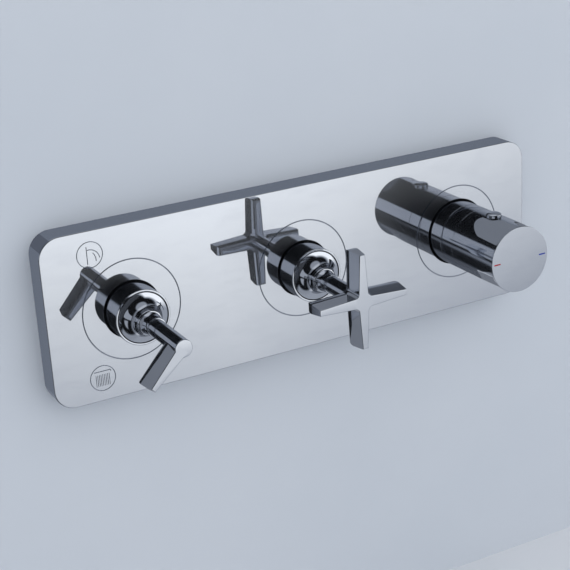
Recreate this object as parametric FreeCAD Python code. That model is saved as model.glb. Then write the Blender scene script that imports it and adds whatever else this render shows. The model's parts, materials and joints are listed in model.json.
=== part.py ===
import FreeCAD, Part
import math
import os

# Thermostatic shower valve for a wall recess: a long cover plate with a diverter lever, a shut-off
# cross handle and a thermostat knob, in front of the brass body that holds their cartridges.
# X runs to the right, Z up, and the front faces -Y. The wall's face is y = 0, and the cover
# plate's centre is at x = z = 0. Lengths are millimetres. A height is measured forwards from the
# cover plate's front face, and a depth is measured from the wall's face into the wall.

# Fits
fixed_fit = 0.05  # radial, between pieces that are fastened together
running_fit = 0.05  # radial, spindle in its housing
open_gap = 0.5  # between a handle and the fixed sleeve round it
joint_line = 0.3  # between the thermostat's rings
floor_gap = 0.1  # behind a cartridge
screw_clearance = 0.15  # radial, round a screw
overcut = 1.0  # how far a cutter reaches past the surface that it opens

# Cover plate
plate_width = 380.0
plate_height = 120.0
plate_depth = 19.0
plate_corner = 15.0
plate_face = 3.0
plate_wall = 2.0
plate_edge = 0.6
end_distance = 60.0  # from the plate's end to the outer control's axis
shadow_gap = 1.1  # between a sleeve and the edge of its hole
engraving_depth = 0.3
ring_radius = 35.0
ring_line = 0.7
icon_radius = 8.9
icon_across = 25.5  # from the diverter's axis towards the plate's end
icon_up = 43.6
icon_line = 0.6
collar_wall = 1.5
collar_length = 4.0

# Pictograms, from each one's centre: a hand shower on its rail, and an overhead shower
rail_x = -1.9
rail_bottom = -6.4
rail_top = 5.8
hose_x = -0.5
hose_z = -3.7
hose_radius = 7.2
hose_start = 5.0  # degrees
hose_end = 98.0
spray_x = -4.0
spray_z = -4.2
spray_radius = 8.1
spray_start = -6.0
spray_end = 40.0
arm_half = 5.9
arm_z = 5.0
arm_hook_bottom = 3.9
arm_hook_top = 4.4
rain_lines = 9
rain_line = 0.45
rain_start = -4.8
rain_width = 9.4
rain_bottom = -5.6
rain_top = 2.7

# Rubber rings
seal_width = 2.6
seal_length = 3.0
edge_seal_width = 3.0
edge_seal_depth = 4.0

# Ceramic units: the diverter and the shut-off valve are alike up to their handles
sleeve_radius = 19.2
sleeve_wall = 1.4
sleeve_height = 19.0
sleeve_overlap = 14.0  # length screwed on to the body's boss
skirt_wall = 1.5
skirt_length = 10.8
bell_drop = 0.2  # from the sleeve's front edge back to the bell's rim
bell_rise = 10.2
collar_ring_radius = 8.9
collar_ring_length = 1.4
neck_radius = 7.6
neck_waist = 6.2
neck_length = 5.6
socket_ring_radius = 6.7
socket_ring_length = 5.0
web_thickness = 2.3
hub_radius = 9.0
hub_recess = 2.0  # the hub ends this far behind the skirt
stem_radius = 6.0
spigot_radius = 4.95
spigot_length = 13.0
handle_height = 82.4

# Lever
lever_angle = 225.0
lever_reach = 32.0
lever_reach_back = 34.5
lever_root_half = 4.0
lever_root_half_back = 5.8
lever_tip_half = 1.8
lever_tip_half_back = 4.0
lever_thickness = 17.5

# Cross handle
cross_reach = 33.0
cross_reach_back = 34.2
cross_root_half = 4.0
cross_root_half_back = 5.2
cross_tip_half = 2.05
cross_tip_half_back = 4.25
cross_thickness = 17.3
cross_corner = 3.0
handle_back_fillet = 3.4
handle_fillet_limit = 0.85  # of an arm's half width at its tip
handle_front_fillet = 0.4

# Screws
m3_radius = 1.5
m4_radius = 2.0
m5_radius = 2.5
m4_head_radius = 3.5
m4_head = 3.0
m5_head_radius = 4.5
m5_head = 3.0
handle_screw_length = 10.0
grub_length = 4.0
grub_sink = 0.1
screw_web = 2.0

# Ceramic cartridges
boss_height = 8.0  # bosses stand this far in front of the wall's face
boss_wall = 2.0
counterbore_depth = 8.0
cartridge_radius = 11.45
cartridge_depth = 33.9
cartridge_cavity = 9.5
cavity_depth = 10.0
cartridge_flange_radius = 14.95
cartridge_flange = 3.0
cartridge_neck_radius = 8.0
cartridge_neck_height = 3.0
nut_head = 6.0
nut_clearance = 0.3
spindle_radius = 4.0
spindle_height = 22.0
spindle_head_radius = 9.0
spindle_flat = 0.8
spindle_head_gap = 2.0
disc_thickness = 4.0
disc_gap = 0.1
disc_running_gap = 0.3
port_radius = 2.5
port_offset = 5.5
port_seal = 2.9

# Brass body
body_margin = 25.0  # the body's end inside the plate's end
body_half_height = 24.0
body_front = 18.0
body_back = 60.0
body_edge = 4.0
channel_radius = 5.0
channel_depth = 52.0
channel_wall = 4.0
branch_radius = 4.0
outlet_depth = 41.0
thread_radius = 9.32
thread_length = 14.0
thread_boss_radius = 14.0
outlet_reach = 38.0
inlet_reach = 40.0
inlet_offset = 25.0  # on each side of the thermostat's axis
hot_depth = 36.0
cold_depth = 25.0
inlet_channel_z = -4.0
pocket_radius = 8.6
pocket_top = -6.0
plug_radius = 6.5
plug_length = 8.0
plug_head_radius = 7.8
plug_head = 3.0

# Check valves and strainers
strainer_thickness = 1.0
strainer_hole = 0.6
strainer_pitch = 2.2
strainer_rim = 1.5
check_length = 16.0
check_wall = 1.7
spider_hole = 1.5
spider_hole_offset = 4.3
poppet_gap = 0.1
poppet_stem_length = 11.4
seat_radius = 4.5
seat_thickness = 1.5
poppet_radius = 5.8
poppet_thickness = 1.5
poppet_stem_radius = 1.5
spider_thickness = 3.0
check_spring_wire = 0.5
check_spring_radius = 3.6
check_spring_turns = 5

# Thermostatic cartridge
knob_radius = 23.7
thermostat_boss_wall = 2.5
thermostat_sleeve_wall = 1.5
thermostat_sleeve_height = 13.85
stop_ring_end = 28.1
thermo_radius = 13.95
thermo_depth = 45.9
thermo_cavity = 10.5
thermo_floor = 1.9
thermo_flange_radius = 18.4
thermo_neck_radius = 12.0
thermo_neck_height = 17.2
thermo_outlet_radius = 4.5
thermo_window_height = 8.0
thermo_window_length = 7.0
thermo_spindle_radius = 5.0
thermo_spindle_height = 38.0
thermo_head_length = 2.0
thermo_head_gap = 0.5
element_radius = 4.0
element_front = 12.0
element_back = 34.0
element_flange_radius = 5.9
element_flange = 1.5
element_pin_radius = 2.0
cup_radius = 7.0
cup_wall = 1.0
cup_floor = 1.5
cup_front = 2.0
cup_length = 8.0
piston_front = 24.0
piston_gap = 0.3
return_spring_wire = 1.0
return_spring_radius = 6.5
return_spring_turns = 4
overload_spring_wire = 0.8
overload_spring_radius = 4.4
overload_spring_turns = 4
o_ring_wire = 1.5

# Thermostat knob
knob_end = 75.5
knob_wall = 4.0
facet_start = 45.5
facet_depth = 2.2
facet_middle = 172.0
facet_spread = 54.0
face_thickness = 1.5
face_spigot = 3.0
mark_start = 16.5
mark_length = 5.2
mark_width = 1.0
mark_depth = 0.4
carrier_hub_radius = 9.0
carrier_start = 19.5
carrier_flange_start = 62.0
carrier_flange_end = 70.0
carrier_web = 2.5
carrier_rim = 2.2
lug_inner = 14.5
lug_outer = 17.5
lug_half_angle = 65.0
lug_disc_start = 24.0
lug_disc_end = 26.5
lug_start = 18.0
stop_web = 2.85
stop_lug_half_angle = 20.0
stop_lug_length = 5.5
knob_screw_height = 66.0
knob_screw_angle = 78.0
knob_screw_radius = 1.25
knob_screw_sink = 0.5
knob_screw_key = 2.0  # the key's socket ends this far inside the knob's side

# Safety button
button_height = 46.5
button_radius = 5.3
button_top = 26.5
button_dome = 0.9
button_gap = 0.3
button_flange_radius = 6.6
button_flange_top = 17.4
button_flange = 1.8
button_spring_seat = 9.05
button_post_radius = 2.6
button_post_top = 12.5
button_spring_wire = 0.5
button_spring_radius = 3.3
button_spring_turns = 4

# Frame behind the cover plate, its pillars and clips, and the brackets on the body's back
frame_end_margin = 18.0  # inside the plate's ends
frame_side_margin = 12.0  # inside the plate's long sides
frame_thickness = 2.0
frame_front = 4.0
frame_hole_gap = 0.8
pillar_radius = 4.0
pillar_z = 17.0
pillar_screw_grip = 10.0
clip_width = 14.0
clip_thickness = 0.8
clip_foot = 6.0
clip_leg = 8.0
clip_offset = 35.0  # from an outer control's axis towards the middle
bracket_thickness = 2.5
bracket_overlap = 25.0  # on the body's back
bracket_reach = 23.0  # past the body's end
bracket_half_height = 20.0
bracket_screw_inset = 13.0
bracket_screw_z = 13.0
bracket_screw_grip = 10.0
fixing_reach = 13.0
fixing_z = 13.0
fixing_radius = 2.75

# Springs
arcs_per_turn = 4

# Places worked out from the sizes above
thermostat_x = plate_width / 2 - end_distance
diverter_x = -thermostat_x
shutoff_x = 0.0
body_length = plate_width - 2 * body_margin
hot_inlet_x = thermostat_x - inlet_offset
cold_inlet_x = thermostat_x + inlet_offset
frame_width = plate_width - 2 * frame_end_margin
frame_height = plate_height - 2 * frame_side_margin
pillar_x = thermostat_x / 2
clip_x = thermostat_x - clip_offset
bracket_inner_end = body_length / 2 - bracket_overlap
bracket_outer_end = body_length / 2 + bracket_reach
bracket_screw_x = body_length / 2 - bracket_screw_inset
fixing_x = body_length / 2 + fixing_reach
boss_front = -boss_height
plate_inner = plate_face - plate_depth
sleeve_bore = sleeve_radius - sleeve_wall
bell_radius = sleeve_bore - open_gap
boss_radius = cartridge_flange_radius + fixed_fit + boss_wall
thermo_boss_radius = thermo_flange_radius + fixed_fit + thermostat_boss_wall
knob_bore = knob_radius - knob_wall
disc_radius = cartridge_cavity - fixed_fit
pocket_bottom = -(inlet_reach - thread_length)


def front(height):
    """The y of a height in front of the cover plate's face."""
    return -(plate_depth + height)


def point(x, y, z):
    return FreeCAD.Vector(x, y, z)


def rod(radius, start, end):
    """A cylinder from one centre to the other."""
    path = point(*end) - point(*start)
    return Part.makeCylinder(radius, path.Length, point(*start), path)


def tube(outer, inner, start, end):
    return rod(outer, start, end).cut(rod(inner, start, end))


def block(low, high):
    return Part.makeBox(high[0] - low[0], high[1] - low[1], high[2] - low[2], point(*low))


def turned(steps, x):
    """Turn an outline of (radius, y) points about an axis along Y. A step of two points is an arc
    through the first to the second."""
    edges = []
    here = point(steps[0][0], steps[0][1], 0)
    for step in steps[1:] + steps[:1]:
        if isinstance(step[0], tuple):
            middle, end = (point(r, y, 0) for r, y in step)
            edges.append(Part.Arc(here, middle, end).toShape())
        else:
            end = point(step[0], step[1], 0)
            edges.append(Part.LineSegment(here, end).toShape())
        here = end
    solid = Part.Face(Part.Wire(edges)).revolve(point(0, 0, 0), point(0, 1, 0), 360)
    solid.translate(point(x, 0, 0))
    return solid


def sector(centre, outer, inner, start, end, y0, y1):
    """Part of a ring about an axis along Y, between two angles from +X towards +Z."""

    def edge_point(radius, degrees):
        angle = math.radians(degrees)
        return point(centre[0] + radius * math.cos(angle), y0, centre[1] + radius * math.sin(angle))

    middle = (start + end) / 2
    a, b, c = (edge_point(outer, degrees) for degrees in (start, middle, end))
    d, e, f = (edge_point(inner, degrees) for degrees in (end, middle, start))
    edges = [Part.Arc(a, b, c).toShape(), Part.LineSegment(c, d).toShape()]
    edges += [Part.Arc(d, e, f).toShape(), Part.LineSegment(f, a).toShape()]
    return Part.Face(Part.Wire(edges)).extrude(point(0, y1 - y0, 0))


def hexagon(corner, y0, y1, x):
    ring = [math.radians(60 * i) for i in range(7)]
    wire = Part.makePolygon([point(x + corner * math.cos(a), y0, corner * math.sin(a)) for a in ring])
    return Part.Face(wire).extrude(point(0, y1 - y0, 0))


def coil(radius, wire, length, turns):
    """A spring that stands on the XY plane round the Z axis, its wire led along short arcs."""
    rise = (length - wire) / turns

    def helix_point(turn):
        angle = 2 * math.pi * turn
        return point(radius * math.cos(angle), radius * math.sin(angle), wire / 2 + rise * turn)

    arcs = []
    for i in range(turns * arcs_per_turn):
        start, middle, end = (helix_point((i + part) / arcs_per_turn) for part in (0, 0.5, 1))
        arcs.append(Part.Arc(start, middle, end).toShape())
    along = arcs[0].tangentAt(arcs[0].FirstParameter)
    section = Part.Wire(Part.makeCircle(wire / 2, helix_point(0), along))
    return Part.Wire(arcs).makePipeShell([section], True, False)


def coil_along_y(radius, wire, y0, y1, turns, x):
    spring = coil(radius, wire, y1 - y0, turns)
    spring.rotate(point(0, 0, 0), point(1, 0, 0), -90)
    spring.translate(point(x, y0, 0))
    return spring


def rounded_block(width, height, corner, y0, y1):
    solid = block((-width / 2, y0, -height / 2), (width / 2, y1, height / 2))
    along = [e for e in solid.Edges if abs(e.tangentAt(e.FirstParameter).y) > 0.99]
    return solid.makeFillet(corner, along)


def edges_at(solid, y):
    """The edges that lie in the plane at y."""
    return [e for e in solid.Edges if abs(e.BoundBox.YMin - y) < 1e-4 and abs(e.BoundBox.YMax - y) < 1e-4]


def fuse(first, others):
    return first.multiFuse(others).removeSplitter()


# ---- Cover plate, its seals and the frame that holds it


def hole_sizes():
    """Each control's place on the plate and the radius of the sleeve that passes through."""
    return [(diverter_x, sleeve_radius), (shutoff_x, sleeve_radius), (thermostat_x, knob_radius)]


def engraving(width, x0, z0, x1, z1):
    """A straight engraved line from one place on the face to another, upright or level."""
    half = width / 2
    low = (min(x0, x1) - half, -plate_depth, min(z0, z1) - half)
    high = (max(x0, x1) + half, -plate_depth + engraving_depth, max(z0, z1) + half)
    return block(low, high)


def engraved_arc(x, z, radius, width, start, end):
    low = -plate_depth
    return sector((x, z), radius + width / 2, radius - width / 2, start, end, low, low + engraving_depth)


def engraved_ring(x, z, radius, width):
    low = (x, -plate_depth, z)
    return tube(radius + width / 2, radius - width / 2, low, (x, -plate_depth + engraving_depth, z))


def hand_shower_icon(x, z):
    rail = engraving(icon_line, x + rail_x, z + rail_bottom, x + rail_x, z + rail_top)
    hose = engraved_arc(x + hose_x, z + hose_z, hose_radius, icon_line, hose_start, hose_end)
    spray = engraved_arc(x + spray_x, z + spray_z, spray_radius, icon_line, spray_start, spray_end)
    return [engraved_ring(x, z, icon_radius, icon_line), rail, hose, spray]


def overhead_icon(x, z):
    cuts = [engraved_ring(x, z, icon_radius, icon_line)]
    cuts.append(engraving(icon_line, x - arm_half, z + arm_z, x + arm_half, z + arm_z))
    hook_x = x + arm_half
    cuts.append(engraving(icon_line, hook_x, z + arm_hook_bottom, hook_x, z + arm_hook_top))
    for i in range(rain_lines):
        drop_x = x + rain_start + rain_width * i / (rain_lines - 1)
        cuts.append(engraving(rain_line, drop_x, z + rain_bottom, drop_x, z + rain_top))
    return cuts


def cover_plate():
    plate = rounded_block(plate_width, plate_height, plate_corner, -plate_depth, 0)
    plate = plate.makeFillet(plate_edge, edges_at(plate, -plate_depth))
    inner_width = plate_width - 2 * plate_wall
    inner_height = plate_height - 2 * plate_wall
    plate = plate.cut(rounded_block(inner_width, inner_height, plate_corner - plate_wall, plate_inner, 0))
    collars = []
    cuts = []
    for x, radius in hole_sizes():
        inner = radius + fixed_fit + seal_width
        end = (x, plate_inner + collar_length, 0)
        collars.append(tube(inner + collar_wall, inner, (x, plate_inner, 0), end))
        cuts.append(rod(radius + shadow_gap, (x, -plate_depth, 0), (x, plate_inner, 0)))
        cuts.append(engraved_ring(x, 0, ring_radius, ring_line))
    icon_x = diverter_x - icon_across
    cuts += hand_shower_icon(icon_x, icon_up) + overhead_icon(icon_x, -icon_up)
    return fuse(plate, collars).cut(cuts)


def sleeve_seal(x, radius):
    inner = radius + fixed_fit
    start = (x, plate_inner, 0)
    return tube(inner + seal_width - fixed_fit, inner, start, (x, plate_inner + seal_length, 0))


def plate_edge_seal():
    width = plate_width - 2 * plate_wall
    height = plate_height - 2 * plate_wall
    corner = plate_corner - plate_wall
    inner = corner - edge_seal_width
    ring = rounded_block(width, height, corner, -edge_seal_depth, 0)
    shift = 2 * edge_seal_width
    return ring.cut(rounded_block(width - shift, height - shift, inner, -edge_seal_depth, 0))


def frame_plate():
    back = frame_thickness - frame_front
    plate = rounded_block(frame_width, frame_height, plate_corner, -frame_front, back)
    cuts = []
    for x, radius in hole_sizes():
        cuts.append(rod(radius + frame_hole_gap, (x, -frame_front, 0), (x, back, 0)))
    for x, z in pillar_places():
        cuts.append(rod(m4_radius + fixed_fit, (x, -frame_front, z), (x, back, z)))
    return plate.cut(cuts)


def pillar_places():
    return [(x, z) for x in (-pillar_x, pillar_x) for z in (-pillar_z, pillar_z)]


def frame_pillars():
    back = frame_thickness - frame_front
    bore = m4_radius + fixed_fit
    return [tube(pillar_radius, bore, (x, back, z), (x, body_front, z)) for x, z in pillar_places()]


def frame_screws():
    tip = body_front + pillar_screw_grip
    screws = []
    for x, z in pillar_places():
        head = rod(m4_head_radius, (x, -frame_front - m4_head, z), (x, -frame_front, z))
        screws.append(head.fuse(rod(m4_radius, (x, -frame_front, z), (x, tip, z))).removeSplitter())
    return screws


def cover_clips():
    """Spring clips from the frame's face to the inside of the plate's long walls."""
    wall_z = plate_height / 2 - plate_wall
    foot_y = -frame_front - clip_thickness
    clips = []
    for x in (-clip_x, clip_x):
        for side in (-1, 1):
            foot_z = side * (frame_height / 2 - clip_foot)
            end_z = side * wall_z
            low_x = x - clip_width / 2
            high_x = x + clip_width / 2
            foot = block((low_x, foot_y, min(foot_z, end_z)), (high_x, -frame_front, max(foot_z, end_z)))
            leg_z = side * (wall_z - clip_thickness)
            leg = block((low_x, foot_y - clip_leg, min(leg_z, end_z)), (high_x, foot_y, max(leg_z, end_z)))
            clips.append(foot.fuse(leg).removeSplitter())
    return clips


# ---- Brass body in the wall, with its plugs and brackets


def port(x, boss, counterbore, bore, depth):
    """A cartridge's boss, and the hole through it."""
    face = (x, boss_front, 0)
    step = (x, boss_front + counterbore_depth, 0)
    solid = rod(boss, face, (x, body_front + body_edge, 0))
    hole = rod(counterbore, face, step).fuse(rod(bore, step, (x, depth, 0)))
    return solid, hole


def level_channel(x0, x1, y, z, radius):
    return rod(radius, (x0, y, z), (x1, y, z))


def ceramic_floor():
    return cartridge_depth + floor_gap


def diverter_channels():
    """One way in from the channel behind, and one way out above and one below."""
    floor = ceramic_floor()
    inlet_x = diverter_x - port_offset
    cuts = [rod(port_radius, (inlet_x, floor, 0), (inlet_x, channel_depth, 0))]
    for side in (-1, 1):
        z = side * port_offset
        cuts.append(rod(port_radius, (diverter_x, floor, z), (diverter_x, outlet_depth, z)))
        mouth = side * outlet_reach
        thread_end = side * (outlet_reach - thread_length)
        inner = side * channel_wall / 2
        step = (diverter_x, outlet_depth, thread_end)
        cuts.append(rod(branch_radius, (diverter_x, outlet_depth, inner), step))
        cuts.append(rod(thread_radius, step, (diverter_x, outlet_depth, mouth)))
    return cuts


def inlet_channels(x, y):
    """A threaded mouth below, the check valve's pocket, and a way to the thermostat's port."""
    cuts = [rod(thread_radius, (x, y, -inlet_reach), (x, y, pocket_bottom))]
    cuts.append(rod(pocket_radius, (x, y, pocket_bottom), (x, y, pocket_top)))
    cuts.append(level_channel(x, thermostat_x, y, inlet_channel_z, branch_radius))
    return cuts


def valve_body():
    half = body_length / 2
    bar = block((-half, body_front, -body_half_height), (half, body_back, body_half_height))
    bar = bar.makeFillet(body_edge, [e for e in bar.Edges if abs(e.tangentAt(e.FirstParameter).x) > 0.99])
    ceramic = (boss_radius, cartridge_flange_radius + fixed_fit, cartridge_radius + fixed_fit)
    thermo = (thermo_boss_radius, thermo_flange_radius + fixed_fit, thermo_radius + fixed_fit)
    ports = [port(x, *ceramic, ceramic_floor()) for x in (diverter_x, shutoff_x)]
    ports.append(port(thermostat_x, *thermo, thermo_depth + floor_gap))
    bosses = [solid for solid, hole in ports]
    cuts = [hole for solid, hole in ports]
    for side in (-1, 1):
        start = (diverter_x, outlet_depth, 0)
        bosses.append(rod(thread_boss_radius, start, (diverter_x, outlet_depth, side * outlet_reach)))
        cuts.append(level_channel(side * channel_wall / 2, side * half, channel_depth, 0, channel_radius))
        cuts.append(level_channel(side * (half - plug_length), side * half, channel_depth, 0, plug_radius))
        port_x = shutoff_x + side * port_offset
        cuts.append(rod(port_radius, (port_x, ceramic_floor(), 0), (port_x, channel_depth, 0)))
    for x, y in ((hot_inlet_x, hot_depth), (cold_inlet_x, cold_depth)):
        bosses.append(rod(thread_boss_radius, (x, y, 0), (x, y, -inlet_reach)))
        cuts += inlet_channels(x, y)
    cuts += diverter_channels()
    mixed = (thermostat_x, channel_depth, 0)
    cuts.append(rod(thermo_outlet_radius, (thermostat_x, thermo_depth, 0), mixed))
    for x, z in pillar_places():
        cuts.append(rod(m4_radius, (x, body_front, z), (x, body_front + pillar_screw_grip, z)))
    for x, z in bracket_screw_places():
        cuts.append(rod(m5_radius, (x, body_back - bracket_screw_grip, z), (x, body_back, z)))
    return fuse(bar, bosses).cut(cuts)


def end_plugs():
    plugs = []
    for side in (-1, 1):
        end = side * body_length / 2
        thread = level_channel(end - side * plug_length, end, channel_depth, 0, plug_radius - fixed_fit)
        head = level_channel(end, end + side * plug_head, channel_depth, 0, plug_head_radius)
        key = level_channel(end, end + side * plug_head, channel_depth, 0, m5_radius)
        plugs.append(thread.fuse(head).removeSplitter().cut(key))
    return plugs


def bracket_screw_places():
    return [(side * bracket_screw_x, z) for side in (-1, 1) for z in (-bracket_screw_z, bracket_screw_z)]


def wall_bracket(side):
    ends = sorted((side * bracket_inner_end, side * bracket_outer_end))
    back = body_back + bracket_thickness
    low = (ends[0], body_back, -bracket_half_height)
    plate = block(low, (ends[1], back, bracket_half_height))
    cuts = []
    for z in (-bracket_screw_z, bracket_screw_z):
        x = side * bracket_screw_x
        cuts.append(rod(m5_radius + fixed_fit, (x, body_back, z), (x, back, z)))
    for z in (-fixing_z, fixing_z):
        cuts.append(rod(fixing_radius, (side * fixing_x, body_back, z), (side * fixing_x, back, z)))
    return plate.cut(cuts)


def bracket_screws():
    back = body_back + bracket_thickness
    screws = []
    for x, z in bracket_screw_places():
        head = rod(m5_head_radius, (x, back, z), (x, back + m5_head, z))
        shank = rod(m5_radius - fixed_fit, (x, body_back - bracket_screw_grip, z), (x, back, z))
        screws.append(head.fuse(shank).removeSplitter())
    return screws


# ---- Ceramic cartridges: the diverter's and the shut-off valve's


def ceramic_housing(x):
    step = boss_front + counterbore_depth
    flange = step - cartridge_flange
    neck = front(cartridge_neck_height)
    bore = spindle_radius + running_fit
    outline = [(bore, neck), (cartridge_neck_radius, neck), (cartridge_neck_radius, flange)]
    outline += [(cartridge_flange_radius, flange), (cartridge_flange_radius, step)]
    outline += [(cartridge_radius, step), (cartridge_radius, cartridge_depth)]
    outline += [(cartridge_cavity, cartridge_depth), (cartridge_cavity, cavity_depth), (bore, cavity_depth)]
    return turned(outline, x)


def cartridge_nut(x, neck, flange_radius):
    """A ring nut screwed into the boss over the cartridge's flange, with a hexagonal head."""
    back = boss_front + counterbore_depth - cartridge_flange
    thread = rod(flange_radius, (x, boss_front, 0), (x, back, 0))
    head = hexagon(flange_radius, boss_front - nut_head, boss_front, x)
    hole = rod(neck + nut_clearance, (x, boss_front - nut_head, 0), (x, back, 0))
    return thread.fuse(head).removeSplitter().cut(hole)


def disc_ports(x, places, y0, y1):
    return [rod(port_radius, (x + dx, y0, dz), (x + dx, y1, dz)) for dx, dz in places]


def diverter_ports():
    return [(-port_offset, 0), (0, port_offset), (0, -port_offset)]


def shutoff_ports():
    return [(port_offset, 0), (-port_offset, 0)]


def fixed_disc(x, places):
    back = cartridge_depth - port_seal
    disc = rod(disc_radius, (x, back - disc_thickness, 0), (x, back, 0))
    return disc.cut(disc_ports(x, places, back - disc_thickness, back))


def disc_seal(x, places):
    back = ceramic_floor()
    start = cartridge_depth - port_seal
    return rod(disc_radius, (x, start, 0), (x, back, 0)).cut(disc_ports(x, places, start, back))


def moving_disc(x, start, end):
    """The turning disc, with a slot that joins the ports it lies over, from angle to angle."""
    margin = math.degrees(math.asin(port_radius / port_offset))
    back = cartridge_depth - port_seal - disc_thickness - disc_gap
    face = back - disc_thickness
    disc = rod(cartridge_cavity - disc_running_gap, (x, face, 0), (x, back, 0))
    outer = port_offset + port_radius
    inner = port_offset - port_radius
    slot = sector((x, 0), outer, inner, start - margin, end + margin, back - disc_thickness / 2, back)
    return disc.cut(slot)


def ceramic_spindle(x):
    """The head drives the moving disc, and the front end has a flat and a tapped hole."""
    head_back = cartridge_depth - port_seal - 2 * disc_thickness - disc_gap
    head_front = cavity_depth + spindle_head_gap
    tip = front(spindle_height)
    outline = [(0, tip), (spindle_radius, tip), (spindle_radius, head_front)]
    outline += [(spindle_head_radius, head_front), (spindle_head_radius, head_back), (0, head_back)]
    flat_end = front(cartridge_neck_height + hub_recess)
    low = (x - spindle_radius, tip, spindle_radius - spindle_flat)
    flat = block(low, (x + spindle_radius, flat_end, spindle_radius))
    tapped = rod(m4_radius, (x, tip, 0), (x, tip + handle_screw_length, 0))
    return turned(outline, x).cut([flat, tapped])


# ---- Handles of the ceramic units


def unit_sleeve(x, radius, wall, boss, end):
    """A polished tube screwed on to the body's boss."""
    back = boss_front + sleeve_overlap
    ledge = boss_front - fixed_fit
    bore = boss + fixed_fit
    outline = [(radius - wall, end), (radius, end), (radius, back), (bore, back), (bore, ledge)]
    return turned(outline + [(radius - wall, ledge)], x)


def base_heights():
    """Heights along the handle's base: bell's rim, collar ring, neck, socket ring and its end."""
    rim = sleeve_height - bell_drop
    ring = rim + bell_rise
    neck = ring + collar_ring_length
    socket = neck + neck_length
    return rim, ring, neck, socket, socket + socket_ring_length


def screw_seat():
    return spindle_height + screw_web


def handle_base(x):
    """The trumpet-shaped base on the spindle: skirt, bell, collar ring, neck and socket ring."""
    rim, ring, neck, socket, end = base_heights()
    skirt_back = rim - skirt_length
    web = rim - web_thickness + bell_drop
    bell_middle = (bell_radius - (bell_radius - collar_ring_radius) * math.sin(math.pi / 4),
                   front(ring - bell_rise * math.sin(math.pi / 4)))
    neck_middle = ((neck_radius + 2 * neck_waist) / 3, front(neck + neck_length / 2))
    bore = spindle_radius + fixed_fit
    socket_bore = spigot_radius + fixed_fit
    screw_bore = m4_radius + screw_clearance
    hub_back = front(skirt_back - hub_recess)
    outline = [(bell_radius, front(skirt_back)), (bell_radius, front(rim))]
    outline += [(bell_middle, (collar_ring_radius, front(ring))), (collar_ring_radius, front(neck))]
    outline += [(neck_radius, front(neck)), (neck_middle, (neck_waist, front(socket)))]
    outline += [(socket_ring_radius, front(socket)), (socket_ring_radius, front(end))]
    outline += [(socket_bore, front(end)), (socket_bore, front(screw_seat()))]
    outline += [(screw_bore, front(screw_seat())), (screw_bore, front(spindle_height))]
    outline += [(bore, front(spindle_height)), (bore, hub_back), (hub_radius, hub_back)]
    outline += [(hub_radius, front(web)), (bell_radius - skirt_wall, front(web))]
    outline += [(bell_radius - skirt_wall, front(skirt_back))]
    grub = grub_hole(x, fixed_fit)
    return turned(outline, x).cut(grub)


def grub_height():
    rim, ring, neck, socket, end = base_heights()
    return (socket + end) / 2


def grub_hole(x, clearance):
    """A radial hole from below through the socket ring and into the handle's spigot."""
    y = front(grub_height())
    return rod(m3_radius + clearance, (x, y, -socket_ring_radius), (x, y, grub_length - socket_ring_radius))


def grub_screw(x):
    y = front(grub_height())
    start_z = grub_sink - socket_ring_radius
    end_z = grub_length - socket_ring_radius
    screw = rod(m3_radius, (x, y, start_z), (x, y, end_z))
    return screw.cut(rod(m3_radius / 2, (x, y, start_z), (x, y, end_z - grub_length / 2)))


def axial_screw(x, seat, length):
    """A pan-head screw along the axis, its head in front of the seat."""
    head = rod(m4_head_radius, (x, front(seat + m4_head), 0), (x, front(seat), 0))
    shank = rod(m4_radius - fixed_fit, (x, front(seat), 0), (x, front(seat - length), 0))
    key = rod(m3_radius, (x, front(seat + m4_head), 0), (x, front(seat + m4_head / 3), 0))
    return head.fuse(shank).removeSplitter().cut(key)


def handle_stem():
    """The round stem with its eased front edge, and the spigot behind it, on the Y axis."""
    end = base_heights()[4]
    face = front(handle_height)
    stem = rod(stem_radius, (0, face, 0), (0, front(end), 0))
    stem = stem.makeFillet(handle_front_fillet, edges_at(stem, face))
    return stem.fuse(rod(spigot_radius, (0, front(end), 0), (0, front(end - spigot_length), 0)))


def outer_edges(solid, y):
    """The edges in the plane at y, apart from one that lies across the axis."""
    return [e for e in edges_at(solid, y) if max(abs(e.BoundBox.XMin), abs(e.BoundBox.XMax)) > 1e-3]


def finished_handle(arms, thickness, tip_half):
    """Round the arms' back edges, ease the front ones and join the arms to the stem."""
    face = front(handle_height)
    rounding = min(handle_back_fillet, handle_fillet_limit * tip_half)
    arms = arms.makeFillet(rounding, outer_edges(arms, face + thickness))
    arms = arms.makeFillet(handle_front_fillet, outer_edges(arms, face))
    return arms.fuse(handle_stem()).removeSplitter()


def lever_section(y, root, tip, reach):
    corners = [(0, -root), (reach, -tip), (reach, tip), (0, root)]
    return Part.makePolygon([point(s, y, t) for s, t in corners + corners[:1]])


def diverter_lever():
    """A tapering blade whose front is narrower and shorter than its back."""
    back = front(handle_height - lever_thickness)
    face = front(handle_height)
    sections = [lever_section(back, lever_root_half_back, lever_tip_half_back, lever_reach_back)]
    sections.append(lever_section(face, lever_root_half, lever_tip_half, lever_reach))
    lever = finished_handle(Part.makeLoft(sections, True, True), lever_thickness, lever_tip_half_back)
    lever.rotate(point(0, 0, 0), point(0, -1, 0), lever_angle)
    lever.translate(point(diverter_x, 0, 0))
    return lever.cut(grub_hole(diverter_x, fixed_fit))


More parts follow.
